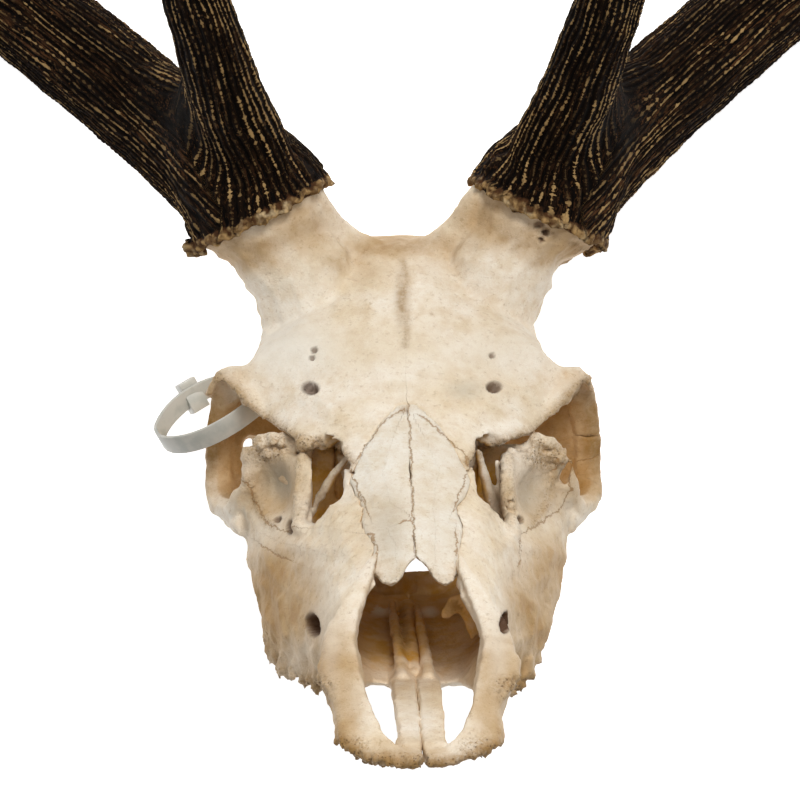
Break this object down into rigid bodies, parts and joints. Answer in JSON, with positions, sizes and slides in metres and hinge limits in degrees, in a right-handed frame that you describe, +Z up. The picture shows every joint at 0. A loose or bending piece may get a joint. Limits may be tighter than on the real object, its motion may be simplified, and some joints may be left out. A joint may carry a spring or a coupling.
{
  "type": "deer skull with antlers",
  "caption": "Red deer stag skull with its antlers, lying on its back with the face up, and a plastic tag looped through one orbit.",
  "frame": {"origin": "centre of the bounding box's bottom face, on the surface the skull lies on", "axes": "+Z up; +Y from the nose end towards the crowns of the antlers, the skull's long outline from above; +X to the animal's left"},
  "size_m": [0.8016, 0.97, 0.3713],
  "materials": {
    "bone": "matte, dry bone with fine pits, cream with brown stains in its recesses",
    "nasal_bone": "matte, paler weathered bone",
    "antler": "rough, near-black brown grooves with paler worn pearls and ridges",
    "burr": "rough, beaded, tan to brown",
    "tag_plastic": "satin, slightly translucent grey-white"
  },
  "bodies": {
    "root": {"premaxilla_left": "bone", "premaxilla_right": "bone", "nasal_left": "nasal_bone", "nasal_right": "nasal_bone", "frontal_left": "bone", "frontal_right": "bone", "lacrimal_left": "bone", "lacrimal_right": "bone", "zygomatic_left": "bone", "zygomatic_right": "bone", "maxilla_left": "bone", "maxilla_right": "bone", "braincase": "bone", "burr_left": "burr", "burr_right": "burr", "beam_lower_left": "antler", "beam_lower_right": "antler", "beam_middle_left": "antler", "beam_middle_right": "antler", "beam_upper_left": "antler", "beam_upper_right": "antler", "brow_tine_left": "antler", "brow_tine_right": "antler", "trez_tine_left": "antler", "trez_tine_right": "antler", "crown_front_tine_left": "antler", "crown_front_tine_right": "antler", "crown_back_tine_left": "antler", "crown_back_tine_right": "antler", "crown_outer_tine_left": "antler", "crown_outer_tine_right": "antler", "tag_strap": "tag_plastic", "tag_head": "tag_plastic"}
  },
  "joints": []
}
